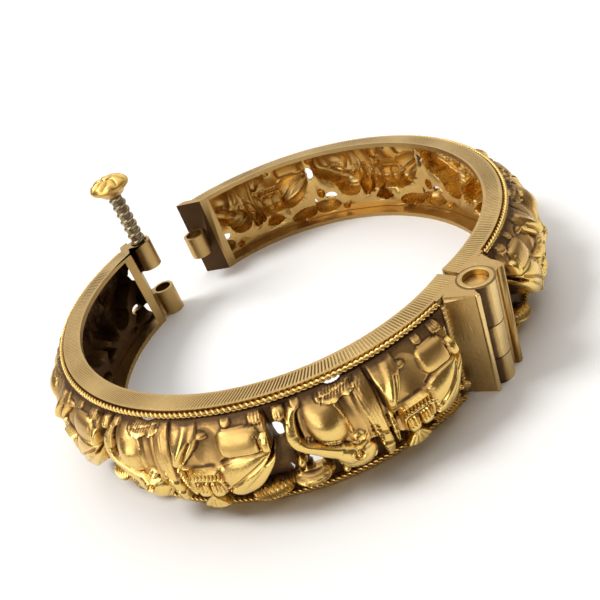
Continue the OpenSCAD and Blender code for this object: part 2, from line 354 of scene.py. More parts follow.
def paint_inner_shade(tree, where, depth, amount):
    """Adds painted shade on the wrist side, where the surface faces the middle of the opening."""
    facing = node(tree, "ShaderNodeNewGeometry").outputs["Normal"]
    outwards = node(tree, "ShaderNodeVectorMath", {0: where}, operation="NORMALIZE").outputs[0]
    along = node(tree, "ShaderNodeVectorMath", {0: facing, 1: outwards}, operation="DOT_PRODUCT")
    inside = stretch(tree, along.outputs["Value"], -0.15, -0.6, 0.0, amount)
    return maths(tree, "ADD", depth, inside)


BRIGHT_GOLD = (0.80, 0.565, 0.18)
WARM_GOLD = (0.60, 0.37, 0.125)
BROWN_GOLD = (0.50, 0.33, 0.125)
PATINA = (0.10, 0.055, 0.026)

# The relief and the rails get painted shade on their wrist side
GOLD_RELIEF = metal_finish("gold_relief", BRIGHT_GOLD, WARM_GOLD, PATINA, painted_inner_shade=0.12)
GOLD_RAIL = metal_finish("gold_rail", (0.72, 0.525, 0.225), BROWN_GOLD, PATINA, bump=0.02, painted_inner_shade=0.1)
GOLD_ROPE = metal_finish("gold_rope", BRIGHT_GOLD, WARM_GOLD, PATINA)
GOLD_HINGE = metal_finish("gold_hinge", BRIGHT_GOLD, WARM_GOLD, PATINA, recess_and_shade=0.36)
GOLD_HEAD = metal_finish("gold_head", (1.0, 0.74, 0.26), (0.74, 0.47, 0.13), PATINA)
SCREW_STEEL = metal_finish("screw_steel", (0.46, 0.385, 0.25), (0.30, 0.24, 0.15), (0.10, 0.08, 0.05))


def set_recess_and_shade(piece, values):
    """Keeps a value per point for the metal: how deep it lies among its neighbours, for the patina, and on some
    pieces painted shade and painted highlight.
    """
    kept = piece.data.attributes.get("recess_and_shade") or piece.data.attributes.new("recess_and_shade", "FLOAT", "POINT")
    kept.data.foreach_set("value", np.asarray(values, dtype=np.float32))


# ---- The frieze: one elephant lies with its back to the lower rail and its head to the clasp ----

def smooth_line(stations, steps=14):
    """A smooth line through a few stations and the values carried along it."""
    given = np.array(stations, float)
    ends = np.vstack([2 * given[0] - given[1], given, 2 * given[-1] - given[-2]])
    t = np.linspace(0, 1, steps, endpoint=False)[:, None]
    spans = [0.5 * (2 * b + (c - a) * t + (2 * a - 5 * b + 4 * c - d) * t ** 2
                    + (3 * b - a - 3 * c + d) * t ** 3)
             for a, b, c, d in zip(ends, ends[1:], ends[2:], ends[3:])]
    return np.vstack(spans + [given[-1:]])


def near_line(u, v, stations):
    """Distance from a line, run along it, side of it and carried values, at every place."""
    line = smooth_line(stations)
    reach = 2.5
    away = np.full(u.shape, 99.0)
    run = np.zeros(u.shape)
    side = np.ones(u.shape)
    carried = np.ones((len(u), line.shape[1] - 2))
    close = np.flatnonzero((u > line[:, 0].min() - reach) & (u < line[:, 0].max() + reach)
                           & (v > line[:, 1].min() - reach) & (v < line[:, 1].max() + reach))
    step = np.hypot(np.diff(line[:, 0]), np.diff(line[:, 1]))
    length = np.concatenate([[0], np.cumsum(step)])
    heading = np.gradient(line[:, :2], axis=0)
    heading /= np.hypot(*heading.T)[:, None]
    du = u[close, None] - line[:, 0]
    dv = v[close, None] - line[:, 1]
    best = np.argmin(du * du + dv * dv, axis=1)
    row = np.arange(len(close))
    du, dv, way = du[row, best], dv[row, best], heading[best]
    on = np.clip(du * way[:, 0] + dv * way[:, 1], -step.max() / 2, step.max() / 2)
    on = np.where((best == 0) | (best == len(line) - 1), 0, on)
    across = way[:, 0] * dv - way[:, 1] * du
    away[close] = np.hypot(du - on * way[:, 0], dv - on * way[:, 1])
    run[close] = length[best] + on
    side[close] = np.sign(across)
    carried[close] = line[best, 2:]
    return away, run, side, carried


def from_middle(u, v, along, up, half_long, half_wide, turn):
    """Where places lie from a form's middle along its own two axes, which end at 1."""
    a = math.radians(turn)
    du, dv = u - along, v - up
    return (du * math.cos(a) + dv * math.sin(a)) / half_long, (dv * math.cos(a) - du * math.sin(a)) / half_wide


def mound(u, v, along, up, half_long, half_wide, turn, rise, power=0.6):
    """Height of a rounded boss with an oval base."""
    x, y = from_middle(u, v, along, up, half_long, half_wide, turn)
    return rise * np.maximum(0, 1 - (x ** 2 + y ** 2)) ** power


def block(u, v, along, up, half_long, half_wide, turn, edge):
    """1 inside a round-cornered block, falling to 0 over its edge."""
    x, y = np.abs(from_middle(u, v, along, up, half_long, half_wide, turn))
    out = (x ** 5 + y ** 5) ** 0.2
    t = np.clip((1 - out) * min(half_long, half_wide) / edge, 0, 1)
    return t * t * (3 - 2 * t)


def pad(u, v, along, up, half_long, half_wide, turn, rise):
    """Height of a pillow with a rounded rectangle as its base."""
    x, y = np.abs(from_middle(u, v, along, up, half_long, half_wide, turn))
    return rise * np.sqrt(np.maximum(0, 1 - x ** 3.2 - y ** 3.2))


def limb(u, v, stations):
    """Height of a limb that is round above and drops steeply at its flanks."""
    away, _, _, carried = near_line(u, v, stations)
    half, rise = carried[:, 0], carried[:, 1]
    cap = np.minimum(0.85 * half, 0.6 * rise)
    over = np.sqrt(np.maximum(0, 1 - (away / half) ** 2))
    flank = np.clip((half - away) / 0.42, 0, 1)
    return cap * over + (rise - cap) * flank * flank * (3 - 2 * flank)


def boulder(u, v, along, up, half_long, half_wide, turn, rise, cap):
    """Height of a round-topped boss, its cap so high, over steep flanks."""
    over = mound(u, v, along, up, half_long, half_wide, turn, 1.0, 0.5)
    flank = np.clip(over / 0.45, 0, 1)
    return cap * over + (rise - cap) * flank * flank * (3 - 2 * flank)


def cut(u, v, stations, half_width, depth):
    """A rounded groove, or a fine raised line where depth is negative."""
    away = near_line(u, v, stations)[0]
    t = np.clip(1 - away / half_width, 0, 1)
    return -depth * t * t * (3 - 2 * t)


def strokes(u, v, stations, half_width, pitch, depth, slant=0.0):
    """Chased strokes across a line, each pitch long, slanted by the way they run out."""
    away, run, side, _ = near_line(u, v, stations)
    edge = np.clip((half_width - away) / 0.12, 0, 1)
    return -depth * edge * (0.5 - 0.5 * np.cos(2 * math.pi * (run + slant * side * away) / pitch))


def hatch(u, v, turn, pitch, depth):
    """Parallel chased strokes over a whole area, each pitch wide."""
    a = math.radians(turn)
    return -depth * (0.5 - 0.5 * np.cos(2 * math.pi * (u * math.cos(a) + v * math.sin(a)) / pitch))


# Domes that rise from the frieze's ground: along, up, half length, half width, turn, rise, roundness
DOMES = {
    "bead above the pod": (23.8, 5.8, 1.0, 0.8, 90, 1.9, 0.5),
    "bead by the trunk": (21.8, 13.95, 0.68, 0.62, 0, 1.4, 0.5),
    "bead above the hind foot": (5.5, 13.95, 0.7, 0.62, 0, 1.4, 0.5),
    "bud over the hind foot": (2.6, 13.7, 1.05, 0.85, 0, 1.55, 0.5),
    "bud over the seam": (24.0, 13.3, 1.1, 1.0, 0, 1.7, 0.5),
    "bead under the thigh": (1.1, 3.1, 0.65, 0.6, 0, 1.5, 0.5),
    "bead under the chin": (19.1, 1.9, 0.7, 0.6, 0, 1.3, 0.5),
    "fringe under the thigh": (3.9, 2.3, 2.7, 1.2, -12, 2.5, 0.4),
}

# Domes that rise from the swelling body: the same columns, their rise measured from the body
RAISED = {
    "temple": (19.3, 11.35, 3.1, 2.2, 76, 1.4, 0.9),
    "ear": (16.2, 10.4, 3.4, 1.7, 86, 0.5, 1.0),
    "knee tip": (8.9, 12.9, 0.9, 0.5, 15, 0.6, 0.8),
    "upper thigh": (5.1, 8.5, 3.4, 2.2, -40, 1.1, 0.8),
}

# Limbs and bands, round over steep flanks, as stations of along, up, half width and rise
TRUNK = [(18.2, 6.9, 1.4, 4.05), (19.4, 7.5, 1.15, 3.9), (20.4, 8.1, 1.05, 3.8), (21.2, 8.75, 1.0, 3.7),
         (22.1, 9.35, 1.0, 3.6), (22.8, 9.95, 1.02, 3.45), (23.2, 10.8, 1.02, 3.2), (23.2, 11.7, 0.98, 2.85),
         (22.95, 12.6, 0.88, 2.35), (22.5, 13.3, 0.7, 1.8), (22.0, 13.65, 0.5, 1.4)]
LOWER_THIGH = [(6.9, 6.5, 0.75, 3.7), (6.25, 5.75, 1.15, 3.95), (4.9, 6.4, 1.3, 4.05), (4.0, 7.2, 1.15, 3.95),
               (3.1, 8.1, 0.9, 3.7), (1.9, 9.15, 0.55, 3.2), (1.3, 9.9, 0.35, 2.6)]
FORELEG = [(11.95, 10.4, 0.85, 3.75), (11.65, 11.2, 1.2, 3.65), (11.3, 12.0, 1.65, 3.3), (11.05, 12.8, 1.95, 2.75),
           (10.95, 13.6, 2.0, 1.9), (10.95, 14.5, 1.9, 0.6)]
COLLAR = [(14.5, 14.3, 1.5, 0.5), (14.35, 13.3, 1.5, 1.65), (14.25, 12.0, 1.45, 2.6), (14.15, 10.6, 1.3, 3.2),
          (14.05, 9.3, 1.15, 3.55), (13.95, 8.0, 1.05, 3.8), (13.8, 6.6, 1.03, 3.9), (13.72, 5.4, 1.0, 3.85),
          (13.7, 4.5, 0.9, 3.65)]
GIRTH = [(12.5, 9.3, 0.6, 3.35), (12.45, 7.6, 0.65, 3.5), (12.4, 6.0, 0.65, 3.4), (12.3, 4.6, 0.55, 3.1)]
THIGH_CREASE = [(6.95, 6.2), (6.0, 7.05), (4.4, 8.4), (2.8, 9.6)]
HAUNCH_LINE = [(7.0, 9.75), (5.9, 10.25), (4.4, 10.5), (1.9, 10.2)]
EAR_FOLD = [(17.7, 13.0), (17.35, 12.2), (17.15, 10.6), (17.05, 9.5)]
EAR_VALLEY = [(16.6, 13.0), (16.3, 11.5), (16.2, 10.0), (16.3, 9.3)]
EAR_BACK = [(15.5, 13.4), (15.4, 11.2), (15.3, 9.0), (15.2, 7.4)]
EAR_LOWER = [(22.4, 10.6), (22.0, 10.0), (21.1, 9.5), (20.0, 9.2), (18.8, 8.8), (18.0, 8.1), (17.1, 7.6),
             (16.2, 7.65), (15.8, 8.3)]
TRUNK_LINE = [(22.35, 10.9), (22.2, 10.3), (21.7, 9.75), (20.9, 9.25), (20.0, 8.75)]
JAW = [(19.9, 6.7), (19.3, 5.6), (18.3, 4.8), (17.0, 4.5), (15.9, 4.9), (15.2, 5.8)]
LEAF_RIB = [(19.3, 13.85), (17.1, 14.05), (14.9, 14.35)]
LEAF_RIM = [(19.3, 13.7), (18.2, 13.35), (16.8, 13.2), (15.4, 13.4), (14.9, 13.7)]
POD_LIP = [(26.0, 4.4), (24.8, 3.65), (23.3, 3.4), (21.8, 3.5), (20.6, 3.9)]
POD_RIDGE = [(25.4, 3.2), (23.6, 2.5), (21.8, 2.6), (20.9, 3.1)]

# Pierced openings: along, up, half width, half height
OPENINGS = [(0.0, 10.5, 0.95, 1.35), (FIGURE_L, 10.5, 0.95, 1.35), (21.8, 4.75, 1.3, 0.85),
            (0.55, 4.3, 0.5, 0.7), (16.8, 14.5, 1.1, 0.25)]


def pod(u, v):
    """A split seed pod; its tip laps over the seam onto the next figure."""
    body = mound(u, v, 23.2, 2.8, 2.95, 1.4, 0, 2.15, 0.45)
    hollow = mound(u, v, 23.2, 3.5, 2.3, 0.5, 0, 0.8, 0.8)
    rim = cut(u, v, POD_LIP, 0.3, -0.3) + cut(u, v, POD_RIDGE, 0.25, -0.25)
    return np.where(body > 0, body - hollow + rim, 0)


def fan_leaf(u, v, grown=0.0):
    """A fan-shaped leaf hanging from the saddle, wide end down."""
    across, down = u - 9.95, 5.3 - v
    away = np.hypot(across, down)
    edge = np.minimum((0.72 - np.abs(np.arctan2(across, down))) * away, 2.95 - away) + grown
    t = np.clip(edge / 0.35, 0, 1)
    return t * t * (3 - 2 * t)


def swell(u, v):
    """The body and head that carry the raised forms: they swell from the upper rail down to the saddle."""
    rise = 0.15 + 3.4 * (1 - np.exp((v - FIGURE_HIGH) / 3.2))
    body = block(u, v, 7.2, 10.2, 6.5, 5.6, 0, 1.0)
    body *= np.clip((v + 1.15 * u - 11.4) / 1.0, 0, 1)
    front = block(u, v, 17.4, 10.0, 5.7, 5.0, 0, 1.0)
    front *= np.clip((v - 6.9 - 0.62 * np.maximum(u - 18.2, 0)) / 0.6 + 0.5, 0, 1)
    return rise * np.maximum(body, front)


def masses(u, v):
    """The figure's large rounded forms, softly joined where they meet."""
    body = swell(u, v)
    near_rail = np.clip((FIGURE_HIGH - v) / 1.5, 0, 1)
    raised = sum(mound(u, v, *form) ** 3 for form in RAISED.values())
    raised += pad(u, v, 4.75, 11.85, 2.15, 1.6, 3, 0.75) ** 3
    raised += pad(u, v, 2.15, 11.3, 0.65, 1.05, 0, 0.85) ** 3
    body += np.cbrt(raised) * np.clip(body, 0.3, 1) * near_rail
    body -= mound(u, v, 8.3, 11.6, 1.9, 2.3, 0, 0.7, 1.2)
    forms = [body, 3.75 * block(u, v, 9.35, 7.35, 2.35, 2.35, 0, 0.4), 3.4 * fan_leaf(u, v, 0.12),
             boulder(u, v, 17.35, 6.0, 2.5, 2.05, 15, 4.25, 1.6),
             (0.5 + 1.1 * (FIGURE_HIGH - v)) * block(u, v, 17.0, 13.8, 2.45, 0.8, -3, 0.3),
             np.maximum(pod(u, v), pod(u + FIGURE_L, v))]
    forms += [limb(u, v, stations) for stations in (TRUNK, LOWER_THIGH, FORELEG, COLLAR, GIRTH)]
    forms += [mound(u, v, *form) for form in DOMES.values()]
    return held(sum(np.maximum(form, 0) ** 10 for form in forms) ** 0.1, v)


def held(h, v):
    """Holds a height softly below what its distance from either rail allows."""
    below_top = np.clip(FIGURE_HIGH - v, 0, 20)
    above_foot = np.clip(v - FIGURE_LOW, 0, 20)
    limit = np.minimum(0.2 + 1.9 * below_top, 1.2 + 2.5 * above_foot ** 0.7)
    return h / (1 + (h / limit) ** 6) ** (1 / 6)


def saddle(u, v):
    """Chased saddle cloth: hatched borders, two petals in a sunk field and a fan leaf below."""
    h = -0.45 * block(u, v, 9.4, 6.35, 1.85, 1.4, 0, 0.2)
    h += cut(u, v, [(12.5, 9.2), (9.9, 9.35), (7.0, 9.2)], 0.36, -0.35)
    h += strokes(u, v, [(12.3, 8.3), (9.9, 8.45), (7.3, 8.3)], 0.5, 0.46, 0.42)
    h += strokes(u, v, [(7.15, 7.6), (7.05, 6.2), (7.2, 4.5)], 0.3, 0.42, 0.36)
    for along in (10.25, 8.5):
        petal = pad(u, v, along, 6.2, 0.8, 1.25, 0, 0.75)
        upper = np.clip((v - 6.0) / 0.3, 0, 1)
        h += petal + strokes(u, v, [(along - 0.6, 6.8), (along + 0.6, 6.8)], 0.9, 0.4, 0.3) * upper
    for reach in (-1.25, -0.45, 0.35, 1.15):
        h += cut(u, v, [(9.95, 4.7), (9.95 + reach * 0.45, 3.8), (9.95 + reach, 2.6)], 0.13, 0.16)
    return h


def head(u, v):
    """The eye, the folded and curled ear, the jaw and the hatched line over the trunk."""
    eye_at = np.hypot(u - 17.3, 1.3 * (v - 6.7))
    h = 0.18 * np.exp(-((eye_at - 0.74) / 0.16) ** 2) - 0.34 * np.clip((0.6 - eye_at) / 0.14, 0, 1)
    h += 0.5 * np.sqrt(np.maximum(0, 1 - (eye_at / 0.34) ** 2))
    h += cut(u, v, EAR_FOLD, 0.28, -0.45) + cut(u, v, EAR_VALLEY, 1.0, 0.45) + cut(u, v, EAR_BACK, 0.3, 0.15)
    curl_at = np.hypot(u - 16.5, 1.3 * (v - 8.5))
    h += 0.35 * np.exp(-((curl_at - 0.52) / 0.15) ** 2) - 0.35 * np.exp(-(curl_at / 0.32) ** 2)
    h += 0.28 * np.exp(-(curl_at / 0.15) ** 2)
    h += cut(u, v, EAR_LOWER, 0.2, 0.4)
    h += strokes(u, v, [(22.0, 10.3), (20.9, 9.85), (19.8, 9.65), (18.9, 9.3)], 0.3, 0.34, 0.2)
    h += cut(u, v, JAW, 0.18, 0.3) + cut(u, v, TRUNK_LINE, 0.13, 0.16)
    h += strokes(u, v, [(19.7, 5.3), (18.6, 4.35), (17.0, 4.1), (15.8, 4.5)], 0.3, 0.42, 0.2)
    return h


def details(u, v):
    """Everything chased into the masses."""
    h = saddle(u, v) + head(u, v)
    h += cut(u, v, THIGH_CREASE, 0.3, 0.35) + cut(u, v, HAUNCH_LINE, 0.3, 0.35)
    h += hatch(u, v, -34, 0.38, 0.4) * block(u, v, 3.9, 2.2, 2.7, 1.15, -12, 0.15)
    h += cut(u, v, [(3.0, 10.7), (3.0, 11.6), (3.1, 12.4)], 0.14, 0.4)
    h += cut(u, v, [(12.0, 10.9), (11.5, 12.0), (11.0, 13.0), (10.7, 13.9)], 0.75, -0.4)
    h += cut(u, v, [(11.3, 10.9), (10.75, 11.9), (10.2, 12.7)], 0.3, 0.4)
    for shift in (-0.8, -0.4, 0.0, 0.4, 0.8):
        h += cut(u, v, [(14.75 + shift, 13.6), (14.5 + shift, 12.0), (14.25 + shift, 10.4), (14.1 + shift, 9.2)],
                 0.12, 0.06)
    h += strokes(u, v, [(14.55, 8.8), (14.4, 6.6), (14.3, 4.2)], 0.5, 0.42, 0.22, 0.6)
    h += cut(u, v, [(14.9, 8.2), (14.0, 7.9), (13.0, 7.2)], 0.25, 0.4)
    h += cut(u, v, [(14.7, 6.3), (13.9, 6.1), (12.9, 5.5)], 0.25, 0.4)
    h += strokes(u, v, GIRTH, 0.5, 0.42, 0.25)
    h += cut(u, v, LEAF_RIB, 0.12, -0.2) + strokes(u, v, LEAF_RIB, 0.6, 0.42, 0.16, 0.8)
    h += cut(u, v, LEAF_RIM, 0.17, -0.28)
    h += strokes(u, v, [(1.6, 13.7), (3.6, 13.7)], 0.7, 0.4, 0.13)
    h += strokes(u, v, [(23.0, 13.3), (25.0, 13.3)], 0.8, 0.4, 0.13)
    h += strokes(u, v, [(20.6, 3.6), (20.9, 2.5), (22.0, 1.8)], 0.4, 0.4, 0.15)
    return h


def relief(u, v):
    """Height of the frieze's face above its ground."""
    forms = masses(u, v)
    return np.maximum(0, forms + details(u, v) * np.clip(forms / 0.8, 0, 1))


def blurred(grid, cells):
    """Mean over a square of cells, on a grid that repeats along and stops up and down."""
    padded = np.pad(np.pad(grid, ((cells, cells), (0, 0)), mode="edge"), ((0, 0), (cells, cells)), mode="wrap")
    total = np.cumsum(np.cumsum(np.pad(padded, ((1, 0), (1, 0))), axis=0), axis=1)
    n = 2 * cells + 1
    return (total[n:, n:] - total[:-n, n:] - total[n:, :-n] + total[:-n, :-n]) / n ** 2


def recess_at(u, v):
    """How deep a place lies among its neighbours, near and wide, from 0 on ridges to 1 in hollows."""
    cell = 0.12
    ups = np.arange(FIGURE_LOW, FIGURE_HIGH + cell, cell)
    alongs = np.arange(0, FIGURE_L, cell)
    across, over = np.meshgrid(alongs, ups)
    face = relief(across.ravel(), over.ravel()).reshape(across.shape)
    near = blurred(face, 2) - face
    wide = blurred(blurred(face, 7), 5) - face
    low = np.clip(1 - face / 4.0, 0, 1)
    deep = np.clip(0.22 + 1.8 * near + 0.5 * wide + 0.62 * low, 0, 1)
    i = np.clip(((v - FIGURE_LOW) / cell).round().astype(int), 0, len(ups) - 1)
    j = (u / cell).round().astype(int) % len(alongs)
    return deep[i, j]


def opening_depth(u, v, opening):
    along, up, half_wide, half_high = opening
    return np.hypot((u - along) / half_wide, (v - up) / half_high)


def make_elephant():
    """The frieze's figure on the bench: a pierced cast shell with a hollow back."""
    deselect()
    columns, rows = 218, 118
    bpy.ops.mesh.primitive_grid_add(x_subdivisions=columns, y_subdivisions=rows, size=1.0)
    shell = bpy.context.object
    flat = points_of(shell)
    flat[:, 0] = (flat[:, 0] + 0.5) * FIGURE_L
    up = flat[:, 1] + 0.5
    flat[:, 1] = FIGURE_LOW + (up + 0.3 * up * (1 - up)) * (FIGURE_HIGH - FIGURE_LOW)
    set_points(shell, flat)
    centres = face_centres(shell)
    open_faces = np.zeros(len(centres), dtype=bool)
    for opening in OPENINGS:
        open_faces |= opening_depth(centres[:, 0], centres[:, 1], opening) < 1
    select_faces(shell, open_faces)
    bpy.ops.mesh.delete(type="FACE")
    bpy.ops.object.mode_set(mode="OBJECT")
    round_openings(shell)
    flat = points_of(shell)
    u, v = flat[:, 0], flat[:, 1]
    count = len(flat)
    set_points(shell, np.stack([u, GROUND_R + relief(u, v), v], axis=1))
    shell.data.flip_normals()
    apply(shell, "SOLIDIFY", thickness=WALL, offset=-1.0, use_even_offset=False)
    shaped = points_of(shell)
    hollow = np.minimum(masses(u, v), relief(u, v)) - WALL
    shaped[count:] = np.stack([u, GROUND_R + hollow, v], axis=1)
    set_points(shell, shaped)
    deep = recess_at(u, v)
    set_recess_and_shade(shell, np.concatenate([deep, np.full(count, HOLLOW_MARK)]))
    thin_hollow_back(shell, count)
    return shell


def round_openings(shell):
    """Moves the stepped rim points of each opening onto its oval."""
    edges = np.empty(len(shell.data.edges) * 2, dtype=int)
    shell.data.edges.foreach_get("vertices", edges)
    edges = np.sort(edges.reshape(-1, 2), axis=1)
    uses = {tuple(edge): 0 for edge in edges}
    for face in shell.data.polygons:
        for key in face.edge_keys:
            uses[key] += 1
    rim = np.unique([end for key, times in uses.items() if times == 1 for end in key])
    flat = points_of(shell)
    for opening in OPENINGS:
        depth = opening_depth(flat[rim, 0], flat[rim, 1], opening)
        mine = rim[(depth < 1.35) & (depth > 0.5)]
        pull = opening_depth(flat[mine, 0], flat[mine, 1], opening)[:, None]
        inside = ((flat[mine, 0] > 1e-6) & (flat[mine, 0] < FIGURE_L - 1e-6)
                  & (flat[mine, 1] < FIGURE_HIGH - 1e-6))
        centre = np.array(opening[:2])
        moved = centre + (flat[mine, :2] - centre) / pull
        flat[mine[inside], :2] = moved[inside]
    flat[:, 0] = np.clip(flat[:, 0], 0, FIGURE_L)
    flat[:, 1] = np.clip(flat[:, 1], FIGURE_LOW, FIGURE_HIGH)
    set_points(shell, flat)


def thin_hollow_back(shell, count):
    """Leaves fewer faces on the plain hollow back than on the chased face."""
    group = shell.vertex_groups.new(name="hollow back")
    group.add(list(range(count, 2 * count)), 1.0, "REPLACE")
    apply(shell, "DECIMATE", ratio=0.66, vertex_group="hollow back")
    shell.vertex_groups.clear()


def vary(points, number):
    """Each figure was chased by hand, so it differs a little from its neighbours between its seams."""
    draw = np.random.default_rng(number)
    waves = draw.uniform(-1, 1, 6)
    u = points[:, 0] / FIGURE_L
    inner = np.sin(math.pi * u) ** 2
    height = (points[:, 2] - FIGURE_LOW) / (FIGURE_HIGH - FIGURE_LOW)
    band = np.sin(math.pi * np.clip(height, 0, 1))
    varied = points.copy()
    if number % FIGURES:
        # The rump shifts up to a millimetre towards the figure behind it, but not at the hinge
        varied[:, 0] -= np.exp(-((points[:, 0] - 2.3) / 2.1) ** 2) * (1 - np.exp(-(points[:, 0] / 0.92) ** 2))
    varied[:, 0] += inner * (0.22 * waves[0] * np.sin(2 * math.pi * u * 1.5 + 3 * waves[1])
                             + 0.12 * waves[2] * (height - 0.5))
    varied[:, 2] += inner * band * 0.22 * waves[3]
    varied[:, 1] += (points[:, 1] - GROUND_R) * inner * (0.035 * waves[4]
                                                         + 0.03 * waves[5] * np.sin(2 * math.pi * u * 2))
    return varied


def set_frieze(figure):
    """Eight figures from the one; the near half's hollow back gets more painted shade."""
    bench = points_of(figure)
    deep = np.empty(len(bench))
    figure.data.attributes["recess_and_shade"].data.foreach_get("value", deep)
    hollow = np.abs(deep - HOLLOW_MARK) < 1e-4
    for side, half in enumerate(HALVES):
        for number in range(FIGURES):
            piece = copy_of(figure)
            # The hollow back takes its half's painted shade in place of its mark
            set_recess_and_shade(piece, np.where(hollow, HOLLOW_SHADE[half], deep))
            shaped = vary(bench, number + FIGURES * side)
            shaped[:, 0] += number * FIGURE_L
            set_in_half(piece, round_ring(shaped), half)
            smooth(piece, 60)
            node_name = f"{half}_elephant_{number + 1}"
            fit(piece, f"{node_name}_cast", half, "gold_relief", GOLD_RELIEF, node_name)
    bpy.data.objects.remove(figure)


# ---- Rope wires ----

def make_rope(length, wire_r, strand_r, lay, sides, steps):
    """Two strands twisted together, straight up the z axis from its foot at zero."""
    strands = []
    for turn in (0.0, math.pi):
        deselect()
        offset = wire_r - strand_r
        bpy.ops.mesh.primitive_circle_add(vertices=sides, radius=strand_r,
                                          location=(offset * math.cos(turn), offset * math.sin(turn), 0))
        strand = bpy.context.object
        bpy.ops.object.transform_apply(location=True, rotation=True, scale=True)
        turns = math.ceil(length / lay)
        apply(strand, "SCREW", angle=2 * math.pi, screw_offset=length / turns, iterations=turns, steps=steps,
              render_steps=steps, axis="Z", use_merge_vertices=True, merge_threshold=1e-5)
        close_ends(strand)
        strands.append(strand)
    rope = join(strands)
    points = points_of(rope)
    out = np.hypot(points[:, 0], points[:, 1]) / wire_r
    set_recess_and_shade(rope, np.clip(0.95 - 0.9 * out, 0.05, 1))
    smooth(rope, 60)
    return rope


def set_ropes():
    """The rope wires along the rails' outer edges."""
    length = (ROPE_END - START) * MAP_R
    rope = make_rope(length, wire_r=ROPE_D / 2, strand_r=0.225, lay=1.5, sides=7, steps=12)
    straight = points_of(rope)
    levels = {"top": (RAIL_R, HEIGHT - ROPE_EDGE - ROPE_D / 2),
              "bottom": (INNER_R + LOW_RAIL_W, ROPE_EDGE + ROPE_D / 2)}
    for half in HALVES:
        for level, (rail_r, z) in levels.items():
            piece = copy_of(rope)
            bench = np.stack([straight[:, 2], rail_r + ROPE_SEAT + straight[:, 0], z + straight[:, 1]], axis=1)
            set_in_half(piece, round_ring(bench), half)
            name = f"{half}_rope_{level}"
            fit(piece, f"{name}_twisted", half, "gold_rope", GOLD_ROPE, name)
    bpy.data.objects.remove(rope)


def set_edge_wires():
    """Twisted upright wire beside the hinge block of each half."""
    foot = RAIL_T + 0.02
    wire = make_rope(HEIGHT - 2 * foot, wire_r=0.56, strand_r=0.31, lay=1.5, sides=9, steps=14)
    straight = points_of(wire)
    angle, middle_r = math.radians(0.95) - START, RAIL_R + 0.5
    for half in HALVES:
        piece = copy_of(wire)
        ring = straight + np.array([middle_r * math.cos(angle), middle_r * math.sin(angle), foot])
        set_in_half(piece, ring, half)
        fit(piece, f"{half}_edge_wire", half, "gold_rope", GOLD_ROPE)
    bpy.data.objects.remove(wire)


# ---- Frames: the solids' own shape with broken edges, and fine ribs on the upper rails ----

RIB_PITCH = 0.42
RIB_RISE = 0.065


def make_ribs():
    """Fine ribs across the upper rail, slanted away from the hinge and worn flat in places."""
    deselect()
    first, last = math.radians(1.2), math.radians(173.0)
    arc = (last - first) * MAP_R
    from_u = (first - START) * MAP_R
    middle_r = INNER_R + RAIL_W / 2
    pitch = RIB_PITCH * MAP_R / middle_r
    ribs = round(arc / pitch)
    bpy.ops.mesh.primitive_grid_add(x_subdivisions=ribs * 4, y_subdivisions=6, size=1.0)
    strip = bpy.context.object
    flat = points_of(strip)
    u = from_u + (flat[:, 0] + 0.5) * arc
    w = flat[:, 1] + 0.5
    inset = 0.1
    slant = 1.1 * np.clip((u - 8) / 14, 0, 1)
    wave = 1 - (0.5 - 0.5 * np.cos(2 * math.pi * (u / pitch))) ** 1.5
    worn = 0.84 + 0.16 * np.sin(u * 0.31 + 1.3 * np.sin(u * 0.13))
    ends = np.minimum(u - from_u, from_u + arc - u)
    edge = np.clip(np.minimum(np.minimum(w, 1 - w) / 0.12, ends / 0.2), 0, 1)
    z = HEIGHT - 0.01 + RIB_RISE * wave * worn * edge
    radius = INNER_R + inset + w * (RAIL_W - 2 * inset)
    along = np.clip(u + slant * (w - 0.5), from_u, from_u + arc)
    set_points(strip, np.stack([along, radius, z], axis=1))
    set_recess_and_shade(strip, 0.16 + 1.1 * (1 - wave) * worn)
    strip.data.flip_normals()
    smooth(strip, 60)
    return strip


def from_hinge(points, half):
    """Where points in metres lie from the hinge pin in millimetres, turned as on the front half."""
    x = points[:, 0] / MM + MIDDLE_X - HINGE_X
    y = points[:, 1] / MM + MIDDLE_Y
    if half == "back":
        x, y = x * math.cos(OPEN) - y * math.sin(OPEN), -(x * math.sin(OPEN) + y * math.cos(OPEN))
    return x, y


def sunk_points(piece, chosen, margin):
    """Insets the chosen faces, so that their rims can stay worn bright, and returns the points within."""
    select_faces(piece, chosen)
    bpy.ops.mesh.inset(thickness=margin * MM)
    bpy.ops.object.mode_set(mode="OBJECT")
    return sorted({point for face in piece.data.polygons if face.select for point in face.vertices})


def end_plate_points(piece, half):
    """Points within the slanted face of the clasp's end plate."""
    x, y = from_hinge(face_centres(piece), half)
    over = (x + HINGE_X - PLATE_X) * math.sin(PLATE_SLANT) + y * math.cos(PLATE_SLANT)
    return sunk_points(piece, (np.abs(over) < 0.03) & (x < -2 * INNER_R), 0.14)


def frame_recess_and_shade(points, half):
    """Painted highlight on one side of the hinge barrel and painted shade round the rest of it; the block round
    the barrel is darker than the other frame faces.
    """
    x, y = from_hinge(points, half)
    away = np.hypot(x, y)
    turn = np.degrees(np.arctan2(-y, x))
    on_barrel = (away > 2.2) & (away < 2.34)
    # Painted shade deepens round the barrel away from its painted highlight
    barrel_shade = np.clip(((turn if half == "front" else -turn) - 18) / 20, 0, 1)
    on_block = (away > 2.5) & (x > -2.7) & (x < 2.2) & (points[:, 2] < (HEIGHT - 0.2) * MM)
    return np.where(on_barrel, 0.1 + 0.85 * barrel_shade, np.where(on_block, 0.6, 0.34))


# Outline of the hinge tube's rim and the solder round it: radius, and height over the rail's top
RIM_OUTLINE = [(1.62, -0.35), (1.62, 0.1), (1.74, 0.17), (2.1, 0.17), (2.22, 0.1), (2.24, 0.02), (2.44, 0.02),
               (2.46, -0.04)]


